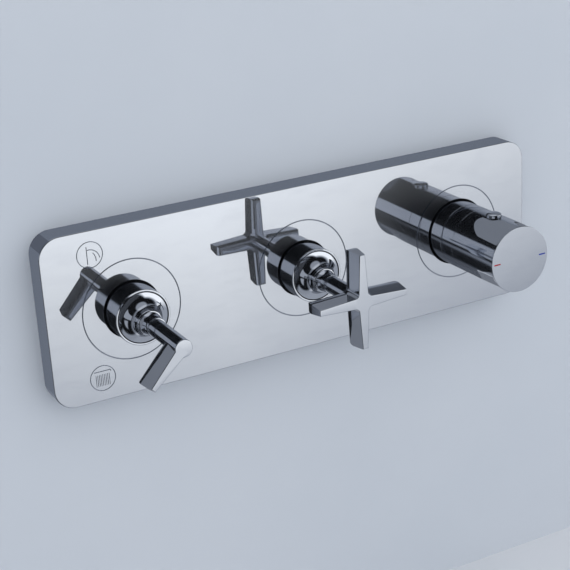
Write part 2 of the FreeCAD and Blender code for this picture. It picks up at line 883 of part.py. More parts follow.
def cross_outline(y, root, tip, reach):
    """The outline of four tapering arms, with a rounded corner between each two."""
    slope = (root - tip) / reach
    long_side = math.sqrt(1 + slope ** 2)
    centre = (root + cross_corner * long_side) / (1 + slope)
    near = centre - cross_corner / long_side
    far = centre - cross_corner * slope / long_side
    middle = centre - cross_corner / math.sqrt(2)
    edges = []
    for i in range(4):
        turn = FreeCAD.Rotation(point(0, -1, 0), 90 * i)
        spots = [(far, -near), (reach, -tip), (reach, tip), (far, near), (middle, middle), (near, far)]
        a, b, c, d, e, f = (turn.multVec(point(s, y, t)) for s, t in spots)
        edges += [Part.LineSegment(a, b).toShape(), Part.LineSegment(b, c).toShape()]
        edges += [Part.LineSegment(c, d).toShape(), Part.Arc(d, e, f).toShape()]
    return Part.Wire(edges)


def shutoff_cross():
    back = front(handle_height - cross_thickness)
    face = front(handle_height)
    sections = [cross_outline(back, cross_root_half_back, cross_tip_half_back, cross_reach_back)]
    sections.append(cross_outline(face, cross_root_half, cross_tip_half, cross_reach))
    cross = finished_handle(Part.makeLoft(sections, True, True), cross_thickness, cross_tip_half_back)
    cross.translate(point(shutoff_x, 0, 0))
    return cross.cut(grub_hole(shutoff_x, fixed_fit))


# ---- Thermostatic cartridge


def thermostat_housing():
    """The cartridge's housing, with windows for the hot and cold water and an outlet behind."""
    step = boss_front + counterbore_depth
    flange = step - cartridge_flange
    neck = front(thermo_neck_height)
    bore = thermo_spindle_radius + running_fit
    floor = thermo_depth - thermo_floor
    outline = [(bore, neck), (thermo_neck_radius, neck), (thermo_neck_radius, flange)]
    outline += [(thermo_flange_radius, flange), (thermo_flange_radius, step)]
    outline += [(thermo_radius, step), (thermo_radius, thermo_depth)]
    outline += [(thermo_outlet_radius, thermo_depth), (thermo_outlet_radius, floor)]
    outline += [(thermo_cavity, floor), (thermo_cavity, flange), (bore, flange)]
    housing = turned(outline, thermostat_x)
    half = thermo_window_length / 2
    for y in (hot_depth, cold_depth):
        low = (thermostat_x - thermo_radius, y - half, -thermo_window_height / 2 + inlet_channel_z)
        high = (thermostat_x + thermo_radius, y + half, thermo_window_height / 2 + inlet_channel_z)
        housing = housing.cut(block(low, high))
    for y in o_ring_places():
        groove_end = y + o_ring_wire + 2 * fixed_fit
        inner = thermo_radius - o_ring_wire
        ends = [(thermostat_x, y, 0), (thermostat_x, groove_end, 0)]
        housing = housing.cut(tube(thermo_radius, inner, *ends))
    return housing


def o_ring_places():
    """Where each O-ring groove starts: before, between and behind the two windows."""
    half = thermo_window_length / 2
    between = (hot_depth + cold_depth - o_ring_wire) / 2
    return [cold_depth - half - 2 * o_ring_wire, between, hot_depth + half + o_ring_wire / 2]


def cartridge_o_rings():
    rings = []
    for y in o_ring_places():
        centre = thermo_radius + fixed_fit - o_ring_wire / 2
        ring = Part.makeTorus(centre, o_ring_wire / 2, point(0, 0, 0), point(0, 1, 0))
        ring.translate(point(thermostat_x, y + o_ring_wire / 2 + fixed_fit, 0))
        rings.append(ring)
    return rings


def thermostat_spindle():
    """The knob's spindle, whose head turns in the housing's cavity."""
    tip = front(thermo_spindle_height)
    head_front = boss_front + counterbore_depth - cartridge_flange + thermo_head_gap
    head_back = head_front + thermo_head_length
    head_radius = thermo_cavity - piston_gap
    outline = [(0, tip), (thermo_spindle_radius, tip), (thermo_spindle_radius, head_front)]
    outline += [(head_radius, head_front), (head_radius, head_back), (0, head_back)]
    tapped = rod(m4_radius, (thermostat_x, tip, 0), (thermostat_x, tip + handle_screw_length, 0))
    return turned(outline, thermostat_x).cut(tapped)


def overload_cup():
    """The cup in front of the wax element's pin, round the overload spring."""
    x = thermostat_x
    end = cup_front + cup_length
    cup = rod(cup_radius, (x, cup_front, 0), (x, end, 0))
    return cup.cut(rod(cup_radius - cup_wall, (x, cup_front + cup_floor, 0), (x, end, 0)))


def overload_spring():
    start = cup_front + cup_floor
    return coil_along_y(overload_spring_radius, overload_spring_wire, start, element_front,
                        overload_spring_turns, thermostat_x)


def wax_element():
    x = thermostat_x
    capsule = rod(element_radius, (x, element_front, 0), (x, element_back, 0))
    flange = rod(element_flange_radius, (x, element_front, 0), (x, element_front + element_flange, 0))
    pin = rod(element_pin_radius, (x, cup_front + cup_floor, 0), (x, element_front, 0))
    return fuse(capsule, [flange, pin])


def mixing_piston():
    """The ring on the wax element that opens one water window as it closes the other."""
    x = thermostat_x
    inner = element_radius + fixed_fit
    return tube(thermo_cavity - piston_gap, inner, (x, piston_front, 0), (x, element_back, 0))


def return_spring():
    end = thermo_depth - thermo_floor - fixed_fit
    start = element_back + fixed_fit
    return coil_along_y(return_spring_radius, return_spring_wire, start, end,
                        return_spring_turns, thermostat_x)


# ---- Check valves and strainers in the two inlets


def inlet_places():
    return [(hot_inlet_x, hot_depth), (cold_inlet_x, cold_depth)]


def inlet_strainer(x, y):
    radius = pocket_radius - fixed_fit
    top = pocket_bottom + strainer_thickness
    disc = rod(radius, (x, y, pocket_bottom), (x, y, top))
    reach = radius - strainer_rim
    steps = int(reach / strainer_pitch)
    holes = []
    for i in range(-steps, steps + 1):
        for j in range(-steps, steps + 1):
            dx = i * strainer_pitch
            dy = j * strainer_pitch
            if math.hypot(dx, dy) + strainer_hole < reach:
                holes.append(rod(strainer_hole, (x + dx, y + dy, pocket_bottom), (x + dx, y + dy, top)))
    return disc.cut(holes)


def check_seat():
    """The height of the seat's upper face."""
    return pocket_bottom + strainer_thickness + seat_thickness


def check_housing(x, y):
    """A tube with the valve's seat at its bottom and the stem's guide at its top."""
    bottom = pocket_bottom + strainer_thickness
    top = bottom + check_length
    outer = pocket_radius - fixed_fit
    body = rod(outer, (x, y, bottom), (x, y, top))
    cuts = [rod(seat_radius, (x, y, bottom), (x, y, check_seat()))]
    cuts.append(rod(outer - check_wall, (x, y, check_seat()), (x, y, top - spider_thickness)))
    cuts.append(rod(poppet_stem_radius + running_fit, (x, y, bottom), (x, y, top)))
    for i in range(4):
        angle = math.radians(45 + 90 * i)
        dx = spider_hole_offset * math.cos(angle)
        dy = spider_hole_offset * math.sin(angle)
        cuts.append(rod(spider_hole, (x + dx, y + dy, check_seat()), (x + dx, y + dy, top)))
    return body.cut(cuts)


def check_poppet(x, y):
    bottom = check_seat() + poppet_gap
    shoulder = bottom + poppet_thickness
    disc = rod(poppet_radius, (x, y, bottom), (x, y, shoulder))
    stem = rod(poppet_stem_radius, (x, y, shoulder), (x, y, shoulder + poppet_stem_length))
    return disc.fuse(stem).removeSplitter()


def check_spring(x, y):
    start = check_seat() + poppet_gap + poppet_thickness + fixed_fit
    end = pocket_bottom + strainer_thickness + check_length - spider_thickness - fixed_fit
    spring = coil(check_spring_radius, check_spring_wire, end - start, check_spring_turns)
    spring.translate(point(x, y, start))
    return spring


# ---- Thermostat knob


def stop_ring():
    """The fixed ring behind the knob, with the lug that stops the knob's carrier."""
    start = front(thermostat_sleeve_height + joint_line)
    end = front(stop_ring_end)
    web = start - stop_web
    bore = thermo_neck_radius + fixed_fit
    inner = knob_radius - thermostat_sleeve_wall
    outline = [(bore, start), (knob_radius, start), (knob_radius, end)]
    outline += [(inner, end), (inner, web), (bore, web)]
    low = 270 - stop_lug_half_angle
    high = 270 + stop_lug_half_angle
    lug = sector((thermostat_x, 0), lug_outer, lug_inner, low, high, web - stop_lug_length, web)
    return turned(outline, thermostat_x).fuse(lug).removeSplitter()


def finger_facet(angle):
    """A wedge that cuts a flat for a finger into the knob's side, deepest at its front."""
    outside = knob_radius + facet_depth
    corners = [(knob_radius, front(facet_start)), (knob_radius - facet_depth, front(knob_end))]
    corners += [(outside, front(knob_end)), (outside, front(facet_start))]
    wire = Part.makePolygon([point(r, y, -knob_radius) for r, y in corners + corners[:1]])
    wedge = Part.Face(wire).extrude(point(0, 0, 2 * knob_radius))
    wedge.rotate(point(0, 0, 0), point(0, -1, 0), angle)
    wedge.translate(point(thermostat_x, 0, 0))
    return wedge


def knob_grub(radius, inner, outer):
    """A radial rod at the knob's set screw, between two distances from the axis."""
    angle = math.radians(knob_screw_angle)
    y = front(knob_screw_height)
    spots = [(thermostat_x + r * math.cos(angle), y, r * math.sin(angle)) for r in (inner, outer)]
    return rod(radius, *spots)


def set_screw_seat():
    """How far from the axis the knob's set screw ends, inside the carrier's rim."""
    return knob_bore - fixed_fit - carrier_rim / 2


def thermostat_knob():
    start = (thermostat_x, front(stop_ring_end + joint_line), 0)
    knob = tube(knob_radius, knob_bore, start, (thermostat_x, front(knob_end), 0))
    turns = [facet_middle + side for side in (facet_spread, -facet_spread)]
    cuts = [finger_facet(turn + half) for turn in turns for half in (0, 180)]
    y = front(button_height)
    outside = knob_radius + overcut
    cuts.append(rod(button_radius + button_gap, (thermostat_x, y, 0), (thermostat_x, y, outside)))
    cuts.append(knob_grub(knob_screw_radius + fixed_fit, knob_bore - overcut, outside))
    return knob.cut(cuts)


def knob_face():
    """The polished disc that closes the knob, with pockets for the two marks."""
    x = thermostat_x
    face = front(knob_end + face_thickness)
    disc = rod(knob_radius, (x, face, 0), (x, front(knob_end), 0))
    spigot = rod(knob_bore - fixed_fit, (x, front(knob_end), 0), (x, front(knob_end - face_spigot), 0))
    return disc.fuse(spigot).removeSplitter().cut([mark(-1), mark(1)])


def mark(side):
    """The hot mark on the left or the cold mark on the right, level with the face."""
    face = front(knob_end + face_thickness)
    ends = sorted((side * mark_start, side * (mark_start + mark_length)))
    low = (thermostat_x + ends[0], face, -mark_width / 2)
    return block(low, (thermostat_x + ends[1], face + mark_depth, mark_width / 2))


def knob_carrier():
    """The splined hub inside the knob: stop lug, button's post, and the rim that the knob sits on."""
    x = thermostat_x
    rim = knob_bore - fixed_fit
    seat = thermo_spindle_height + carrier_web
    hub = tube(carrier_hub_radius, thermo_spindle_radius + fixed_fit, (x, front(carrier_start), 0),
               (x, front(thermo_spindle_height), 0))
    front_hub = tube(carrier_hub_radius, m4_radius + screw_clearance, (x, front(thermo_spindle_height), 0),
                     (x, front(carrier_flange_start), 0))
    flange_end = carrier_flange_start + carrier_web
    flange = rod(rim, (x, front(carrier_flange_start), 0), (x, front(flange_end), 0))
    ring = tube(rim, rim - carrier_rim, (x, front(flange_end), 0), (x, front(carrier_flange_end), 0))
    disc = tube(lug_outer, carrier_hub_radius, (x, front(lug_disc_start), 0), (x, front(lug_disc_end), 0))
    lug = sector((x, 0), lug_outer, lug_inner, 90 - lug_half_angle, 90 + lug_half_angle,
                 front(lug_disc_start), front(lug_start))
    y = front(button_height)
    socket = rod(m4_head_radius + open_gap, (x, front(seat), 0), (x, front(flange_end), 0))
    post = rod(button_post_radius, (x, y, carrier_hub_radius - overcut), (x, y, button_post_top))
    carrier = fuse(hub, [front_hub, flange, ring, disc, lug, post])
    return carrier.cut([socket, knob_grub(knob_screw_radius + fixed_fit, set_screw_seat(), knob_radius)])


def knob_set_screw():
    screw = knob_grub(knob_screw_radius, set_screw_seat(), knob_radius - knob_screw_sink)
    return screw.cut(knob_grub(knob_screw_radius / 2, knob_radius - knob_screw_key, knob_radius))


def safety_button():
    x = thermostat_x
    y = front(button_height)
    stem = rod(button_radius, (x, y, button_flange_top), (x, y, button_top))
    top = [e for e in stem.Edges if abs(e.BoundBox.ZMin - button_top) < 1e-4]
    stem = stem.makeFillet(button_dome, top)
    flange = rod(button_flange_radius, (x, y, button_flange_top - button_flange), (x, y, button_flange_top))
    return stem.fuse(flange).removeSplitter()


def button_spring():
    end = button_flange_top - button_flange - fixed_fit
    spring = coil(button_spring_radius, button_spring_wire, end - button_spring_seat, button_spring_turns)
    spring.translate(point(thermostat_x, front(button_height), button_spring_seat))
    return spring


def save(name, shape):
    pieces = shape if isinstance(shape, list) else [shape]
    solids = [solid for piece in pieces for solid in piece.Solids]
    if not all(solid.isValid() for solid in solids):
        print("not valid:", name)
    kept = solids[0] if len(solids) == 1 else Part.makeCompound(solids)
    kept.exportStep("parts/" + name + ".step")
    print(name, len(solids), "solids", round(kept.Volume), "mm3")


def save_ceramic_unit(name, x, places, slot):
    """The pieces that the diverter and the shut-off valve share."""
    save(name + "_sleeve", unit_sleeve(x, sleeve_radius, sleeve_wall, boss_radius, front(sleeve_height)))
    save(name + "_cartridge_housing", ceramic_housing(x))
    save(name + "_cartridge_nut", cartridge_nut(x, cartridge_neck_radius, cartridge_flange_radius))
    save(name + "_disc_seal", disc_seal(x, places))
    save(name + "_fixed_disc", fixed_disc(x, places))
    save(name + "_moving_disc", moving_disc(x, *slot))
    save(name + "_spindle", ceramic_spindle(x))
    save(name + "_handle_base", handle_base(x))
    save(name + "_handle_screw", axial_screw(x, screw_seat(), handle_screw_length))
    save(name + "_grub_screw", grub_screw(x))


def main():
    os.makedirs("parts", exist_ok=True)
    save("cover_plate", cover_plate())
    save("plate_edge_seal", plate_edge_seal())
    save("sleeve_seals", [sleeve_seal(x, radius) for x, radius in hole_sizes()])
    save("mounting_frame", frame_plate())
    save("frame_pillars", frame_pillars())
    save("frame_screws", frame_screws())
    save("cover_clips", cover_clips())
    save("valve_body", valve_body())
    save("end_plugs", end_plugs())
    save("left_wall_bracket", wall_bracket(-1))
    save("right_wall_bracket", wall_bracket(1))
    save("bracket_screws", bracket_screws())

    save_ceramic_unit("diverter", diverter_x, diverter_ports(), (180, 270))
    save("diverter_lever", diverter_lever())
    save_ceramic_unit("shutoff", shutoff_x, shutoff_ports(), (-90, 90))
    save("shutoff_cross_handle", shutoff_cross())

    x = thermostat_x
    sleeve = unit_sleeve(x, knob_radius, thermostat_sleeve_wall, thermo_boss_radius,
                         front(thermostat_sleeve_height))
    save("thermostat_sleeve", sleeve)
    save("thermostat_stop_ring", stop_ring())
    save("thermostat_cartridge_housing", thermostat_housing())
    save("thermostat_cartridge_nut", cartridge_nut(x, thermo_neck_radius, thermo_flange_radius))
    save("cartridge_o_rings", cartridge_o_rings())
    save("thermostat_spindle", thermostat_spindle())
    save("overload_cup", overload_cup())
    save("overload_spring", overload_spring())
    save("wax_element", wax_element())
    save("mixing_piston", mixing_piston())
    save("return_spring", return_spring())

    save("thermostat_knob", thermostat_knob())
    save("knob_face", knob_face())
    save("hot_mark", mark(-1))
    save("cold_mark", mark(1))
    save("knob_carrier", knob_carrier())
    save("knob_screw", axial_screw(x, thermo_spindle_height + carrier_web, handle_screw_length))
    save("knob_set_screw", knob_set_screw())
    save("safety_button", safety_button())
    save("button_spring", button_spring())

    save("inlet_strainers", [inlet_strainer(*place) for place in inlet_places()])
    save("check_valve_housings", [check_housing(*place) for place in inlet_places()])
    for name, place in zip(("hot", "cold"), inlet_places()):
        save(name + "_check_poppet", check_poppet(*place))
        save(name + "_check_spring", check_spring(*place))


main()
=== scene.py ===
import json
import math

import bmesh
import bpy
from mathutils import Matrix, Vector


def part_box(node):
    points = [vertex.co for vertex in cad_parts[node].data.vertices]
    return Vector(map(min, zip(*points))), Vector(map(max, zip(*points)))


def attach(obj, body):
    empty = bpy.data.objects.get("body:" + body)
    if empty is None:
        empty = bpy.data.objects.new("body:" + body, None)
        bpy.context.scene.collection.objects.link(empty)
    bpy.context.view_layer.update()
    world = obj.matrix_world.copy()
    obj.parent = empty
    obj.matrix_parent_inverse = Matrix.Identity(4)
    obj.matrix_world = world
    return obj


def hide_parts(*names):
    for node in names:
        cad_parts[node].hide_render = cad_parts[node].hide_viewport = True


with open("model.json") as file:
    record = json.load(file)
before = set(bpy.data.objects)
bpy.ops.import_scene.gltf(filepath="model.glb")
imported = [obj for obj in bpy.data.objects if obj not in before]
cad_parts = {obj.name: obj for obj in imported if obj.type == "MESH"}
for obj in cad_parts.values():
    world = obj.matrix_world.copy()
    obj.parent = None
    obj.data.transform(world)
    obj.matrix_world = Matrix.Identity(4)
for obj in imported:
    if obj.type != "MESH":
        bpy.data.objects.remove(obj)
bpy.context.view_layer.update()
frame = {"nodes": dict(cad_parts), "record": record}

# Thermostatic shower valve, dressed around its solids. Metres, X right, Z up, the front faces -Y.
mm = 0.001
fine = 1e-6  # points closer than this are one point
alongY = (math.pi / 2, 0, 0)  # lays an upright axis along Y


# Places read from the solids

def middle(node):
    low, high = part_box(node)
    return (low + high) / 2


def outerRadius(node):
    low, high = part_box(node)
    return (high.z - low.z) / 2


plateLow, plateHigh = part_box("cover_plate")
faceY = plateLow.y  # the cover plate's front face
units = {
    "diverter": middle("diverter_sleeve").x,
    "shutoff": middle("shutoff_sleeve").x,
    "thermostat": middle("thermostat_sleeve").x,
}


def ahead(height):
    # the y of a height in front of the plate's face
    return faceY - height * mm


# Small modelling steps

def clearSelection():
    if bpy.context.object and bpy.context.object.mode != "OBJECT":
        bpy.ops.object.mode_set(mode="OBJECT")
    bpy.ops.object.select_all(action="DESELECT")


def pick(piece):
    clearSelection()
    piece.select_set(True)
    bpy.context.view_layer.objects.active = piece


def edit(piece):
    pick(piece)
    bpy.ops.object.mode_set(mode="EDIT")


def done():
    bpy.ops.object.mode_set(mode="OBJECT")


def applyPlace():
    bpy.ops.object.transform_apply(location=True, rotation=True, scale=True)


def block(centre, size):
    clearSelection()
    bpy.ops.mesh.primitive_cube_add(size=1, location=centre, scale=size)
    applyPlace()
    return bpy.context.object


def pickEdges(piece, test):
    bpy.ops.mesh.select_mode(type="EDGE")
    bpy.ops.mesh.select_all(action="DESELECT")
    mesh = bmesh.from_edit_mesh(piece.data)
    for edge in mesh.edges:
        edge.select = test(edge.verts[0].co, edge.verts[1].co)
    bmesh.update_edit_mesh(piece.data)


def pickFaces(piece, test):
    bpy.ops.mesh.select_mode(type="FACE")
    bpy.ops.mesh.select_all(action="DESELECT")
    mesh = bmesh.from_edit_mesh(piece.data)
    for face in mesh.faces:
        face.select = test(face.calc_center_median(), face.normal)
    bmesh.update_edit_mesh(piece.data)


def startPoint(name, place):
    # a plane merged to the one point that an outline starts from
    clearSelection()
    bpy.ops.mesh.primitive_plane_add(size=mm)
    piece = bpy.context.object
    piece.name = name
    bpy.ops.object.mode_set(mode="EDIT")
    bpy.ops.mesh.select_mode(type="VERT")
    bpy.ops.mesh.merge(type="CENTER")
    bpy.ops.transform.translate(value=place)
    return piece


def traceLoop(places):
    # extrudes the picked point through the places and back to the first
    for here, there in zip(places, places[1:] + places[:1]):
        bpy.ops.mesh.extrude_region_move(TRANSFORM_OT_translate={"value": there - here})


def mergeAll():
    bpy.ops.mesh.select_all(action="SELECT")
    bpy.ops.mesh.remove_doubles(threshold=fine)


def faceOutwards():
    mergeAll()
    bpy.ops.mesh.normals_make_consistent(inside=False)
    done()


def arcPlaces(start, through, end, count=10):
    # points along the arc from start through a middle point to the end, without the start
    ax, ay = start
    bx, by = through
    cx, cy = end
    d = 2 * (ax * (by - cy) + bx * (cy - ay) + cx * (ay - by))
    ux = ((ax**2 + ay**2) * (by - cy) + (bx**2 + by**2) * (cy - ay) + (cx**2 + cy**2) * (ay - by)) / d
    uy = ((ax**2 + ay**2) * (cx - bx) + (bx**2 + by**2) * (ax - cx) + (cx**2 + cy**2) * (bx - ax)) / d
    radius = math.hypot(ax - ux, ay - uy)
    first, mid, last = (math.atan2(y - uy, x - ux) for x, y in (start, through, end))
    turn = (last - first) % math.tau
    if (mid - first) % math.tau > turn:
        turn -= math.tau
    angles = [first + turn * i / count for i in range(1, count + 1)]
    return [(ux + radius * math.cos(a), uy + radius * math.sin(a)) for a in angles]


def outlinePlaces(steps):
    # an outline of (radius, along) points; a step of two points is an arc through the first to the second
    places = [steps[0]]
    for step in steps[1:]:
        if isinstance(step[0], tuple):
            places += arcPlaces(places[-1], step[0], step[1])
        else:
            places.append(step)
    return places


def spun(name, steps, centre, axis=(0, 1, 0), rings=160):
    # traces an outline beside the axis and spins it round
    axis = Vector(axis)
    side = Vector((1, 0, 0))
    places = [centre + side * radius + axis * along for radius, along in outlinePlaces(steps)]
    piece = startPoint(name, places[0])
    traceLoop(places)
    mergeAll()
    bpy.ops.mesh.spin(steps=rings, angle=math.tau, center=centre, axis=axis)
    faceOutwards()
    return piece


def tube(name, node, bore, x):
    # as long and as wide as the solid, and bored along Y
    low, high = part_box(node)
    radius = outerRadius(node)
    outline = [(bore * mm, low.y), (radius, low.y), (radius, high.y), (bore * mm, high.y)]
    return spun(name, outline, Vector((x, 0, 0)))


def modifier(piece, kind, **settings):
    pick(piece)
    bpy.ops.object.modifier_add(type=kind)
    added = piece.modifiers[-1]
    for key, value in settings.items():
        setattr(added, key, value)
    bpy.ops.object.modifier_apply(modifier=added.name)


def cut(piece, cutters, operation="DIFFERENCE"):
    for cutter in cutters:
        modifier(piece, "BOOLEAN", object=cutter, operation=operation, solver="EXACT")
        bpy.data.objects.remove(cutter)


def drill(piece, place, radius, depth, sides, turn=(0, 0, 0)):
    clearSelection()
    bpy.ops.mesh.primitive_cylinder_add(vertices=sides, radius=radius, depth=depth, location=place,
                                        rotation=turn)
    applyPlace()
    cut(piece, [bpy.context.object])


def eased(piece, width):
    # rounds every edge that turns by more than 30 degrees
    modifier(piece, "BEVEL", width=width, segments=3, limit_method="ANGLE",
             angle_limit=math.radians(30), use_clamp_overlap=True)


def polished(piece, easing=0.0):
    # eases the sharp edges, then makes the flats shade flat and the rounds shade round
    if easing:
        eased(piece, easing)
    pick(piece)
    bpy.ops.object.shade_smooth_by_angle(angle=math.radians(32))
    modifier(piece, "WEIGHTED_NORMAL", keep_sharp=True, weight=80)
    return piece


def copied(piece, name, shift):
    pick(piece)
    bpy.ops.object.duplicate()
    twin = bpy.context.object
    twin.name = name
    twin.location = shift
    applyPlace()
    return twin


def settle(piece, body, slot, *stoodFor):
    # each slot has a finish of the same name
    piece.data.materials.clear()
    piece.data.materials.append(finishes[slot])
    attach(piece, body)
    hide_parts(*stoodFor)


# Shader maths

class Number:
    # wraps a number socket, so that shader maths reads as sums
    def __init__(self, shade, socket):
        self.shade = shade
        self.socket = socket

    def __add__(self, other):
        return self.shade.maths("ADD", self, other)

    def __radd__(self, other):
        return self.shade.maths("ADD", other, self)

    def __sub__(self, other):
        return self.shade.maths("SUBTRACT", self, other)

    def __rsub__(self, other):
        return self.shade.maths("SUBTRACT", other, self)

    def __mul__(self, other):
        return self.shade.maths("MULTIPLY", self, other)

    def __rmul__(self, other):
        return self.shade.maths("MULTIPLY", other, self)


class Shade:
    # a node tree being written
    def __init__(self, tree):
        self.tree = tree
        self.tree.nodes.clear()

    def node(self, kind, settings=None, sockets=None, output=0):
        made = self.tree.nodes.new(kind)
        for key, value in (settings or {}).items():
            setattr(made, key, value)
        for key, value in (sockets or {}).items():
            if isinstance(value, Number):
                self.tree.links.new(value.socket, made.inputs[key])
            else:
                made.inputs[key].default_value = value
        return Number(self, made.outputs[output])

    def maths(self, operation, first, second):
        return self.node("ShaderNodeMath", {"operation": operation}, {0: first, 1: second})

    def coordinates(self, scale=(1, 1, 1), turn=(0, 0, 0)):
        place = self.node("ShaderNodeTexCoord", output="Object")
        return self.node("ShaderNodeMapping", None, {"Vector": place, "Scale": scale, "Rotation": turn})

    def noise(self, vector, scale, detail, rough=0.5):
        sockets = {"Vector": vector, "Scale": scale, "Detail": detail, "Roughness": rough}
        return self.node("ShaderNodeTexNoise", {"noise_dimensions": "3D"}, sockets)

    def axes(self, vector):
        split = self.node("ShaderNodeSeparateXYZ", None, {0: vector}).socket.node
        return [Number(self, output) for output in split.outputs]

    def within(self, value, reach):
        # one where the value is nearer to zero than the reach, otherwise nothing
        return self.maths("LESS_THAN", self.maths("ABSOLUTE", value, 0.0), reach)

    def clamped(self, value, low, high):
        return self.node("ShaderNodeClamp", None, {"Value": value, "Min": low, "Max": high})

    def blend(self, mask, first, second):
        return self.node("ShaderNodeMixShader", None, {0: mask, 1: first, 2: second})

    def between(self, value, low, high, toLow=0.0, toHigh=1.0):
        sockets = {"Value": value, "From Min": low, "From Max": high, "To Min": toLow, "To Max": toHigh}
        return self.node("ShaderNodeMapRange", {"interpolation_type": "SMOOTHSTEP"}, sockets)

    def mixed(self, mask, first, second):
        sockets = {0: mask, 6: first, 7: second}
        return self.node("ShaderNodeMix", {"data_type": "RGBA"}, sockets, output=2)

    def bump(self, height, distance, strength):
        sockets = {"Height": height, "Distance": distance, "Strength": strength}
        return self.node("ShaderNodeBump", None, sockets)

    def surface(self, sockets):
        return self.node("ShaderNodeBsdfPrincipled", None, sockets)

    def finish(self, surface, kind="ShaderNodeOutputMaterial"):
        out = self.tree.nodes.new(kind)
        self.tree.links.new(surface.socket, out.inputs["Surface"])


def colour(red, green, blue):
    return (red, green, blue, 1)


def material(name):
    made = bpy.data.materials.new(name)
    made.use_nodes = True
    return made, Shade(made.node_tree)


# Finishes

chromeLook = {
    "bright": colour(0.89, 0.91, 0.95),
    "tarnish": colour(0.86, 0.88, 0.925),
    "polish": 0.012,
    "smear": 0.012,
    "smearScale": 38,
    "swirl": 0.006,
    "swirlScale": 900,
    "haze": 0.42,  # the veil's roughness
    "smearHaze": 0.01,
}
plateLook = {
    "haze": 0.17,
    # painted shade: the sides' grey is darker than the face's chrome, standing in for the shade on the
    # plate's sides
    "sideShade": colour(0.76, 0.81, 0.9),
    # painted shade: the engraved lines' colour, darker still, standing in for the shade in the recesses
    "groove": colour(0.5, 0.53, 0.6),
    "rough": 0.25,
    "sides": (faceY + 0.55 * mm, faceY + 0.75 * mm),  # the painted shade and the satin fade in past the eased edge
    "cuts": (faceY + 0.04 * mm, faceY + 0.1 * mm),
    "border": 1.5 * mm,  # nothing is engraved this near to the plate's edge
}


def chromeLayers(shade, haze):
    # mirror chrome: faint polishing swirls, wiping smears and a thin veil of haze
    look = chromeLook
    smears = shade.noise(shade.coordinates((1, 1, 3)), look["smearScale"], 4, 0.55)
    swirls = shade.noise(shade.coordinates((1, 1, 9), (0, 0.5, 0)), look["swirlScale"], 2, 0.6)
    wiped = shade.between(smears, 0.42, 0.75)
    tint = shade.mixed(wiped, look["bright"], look["tarnish"])
    rough = look["polish"] + look["smear"] * wiped + look["swirl"] * swirls
    mirror = shade.surface({"Base Color": tint, "Metallic": 1.0, "Roughness": rough})
    soft = shade.surface({"Base Color": tint, "Metallic": 1.0, "Roughness": look["haze"]})
    return shade.blend(haze + look["smearHaze"] * wiped, mirror, soft)


def chrome(name, haze):
    made, shade = material(name)
    shade.finish(chromeLayers(shade, haze))
    return made


def plateChrome():
    # the handles' chrome with more haze, and on the plate's sides and in the engraved lines a rougher satin
    # with painted shade: a darker grey standing in for the shade there
    look = plateLook
    made, shade = material("PlateChrome")
    place = shade.node("ShaderNodeTexCoord", output="Object")
    x, y, z = shade.axes(place)
    # painted shade: a darker grey on the plate's sides, mixed in with a rougher satin
    sides = shade.between(y, *look["sides"])
    inside = shade.within(x, plateHigh.x - look["border"]) * shade.within(z, plateHigh.z - look["border"])
    # painted shade: the engraved lines are picked out with a darker grey, beside the rougher satin
    groove = shade.between(y, *look["cuts"]) * inside
    tint = shade.mixed(groove, look["sideShade"], look["groove"])
    satinWithPaintedShade = shade.surface({"Base Color": tint, "Metallic": 1.0, "Roughness": look["rough"]})
    shade.finish(shade.blend(shade.maths("MAXIMUM", sides, groove), chromeLayers(shade, look["haze"]), satinWithPaintedShade))
    return made


def rawBrass():
    # cast and machined brass: grainy skin, turning marks and dull patches
    made, shade = material("RawBrass")
    place = shade.coordinates()
    grain = shade.noise(place, 900, 5, 0.65)
    patches = shade.noise(place, 45, 4, 0.6)
    lathe = shade.noise(shade.coordinates((1, 40, 1)), 60, 2)
    worn = shade.between(patches, 0.35, 0.7)
    tint = shade.mixed(worn, colour(0.52, 0.34, 0.13), colour(0.75, 0.55, 0.25))
    tint = shade.mixed(shade.between(grain, 0.5, 0.8) * 0.5, tint, colour(0.33, 0.2, 0.08))
    rough = 0.3 + 0.22 * grain + 0.1 * worn
    relief = shade.bump(grain + 0.3 * lathe, 0.06 * mm, 0.6)
    shade.finish(shade.surface({"Base Color": tint, "Metallic": 0.95, "Roughness": rough, "Normal": relief}))
    return made


def steel(name, dark, light, rough, speckle):
    # plated or plain steel, with a crystalline mottle and fine drawing lines
    made, shade = material(name)
    spangle = shade.node("ShaderNodeTexVoronoi", {"feature": "F1"},
                         {"Vector": shade.coordinates(), "Scale": speckle}, output="Color")
    split = shade.node("ShaderNodeSeparateColor", None, {"Color": spangle})
    drawn = shade.noise(shade.coordinates((1, 1, 30)), 120, 2)
    tint = shade.mixed(0.6 * split + 0.3 * drawn, dark, light)
    relief = shade.bump(drawn, 0.01 * mm, 0.4)
    look = {"Base Color": tint, "Metallic": 1.0, "Roughness": rough + 0.12 * split, "Normal": relief}
    shade.finish(shade.surface(look))
    return made


def moulded(name, dark, light, rough, grainScale, coat=0.0):
    # rubber, plastic, ceramic or enamel: a slight mottle and a fine moulded grain
    made, shade = material(name)
    place = shade.coordinates()
    mottle = shade.noise(place, 140, 4, 0.6)
    grain = shade.noise(place, grainScale, 3, 0.7)
    tint = shade.mixed(shade.between(mottle, 0.3, 0.7), dark, light)
    relief = shade.bump(grain, 0.02 * mm, 0.5)
    look = {"Base Color": tint, "Roughness": rough + 0.1 * grain, "Coat Weight": coat, "Normal": relief}
    shade.finish(shade.surface(look))
    return made


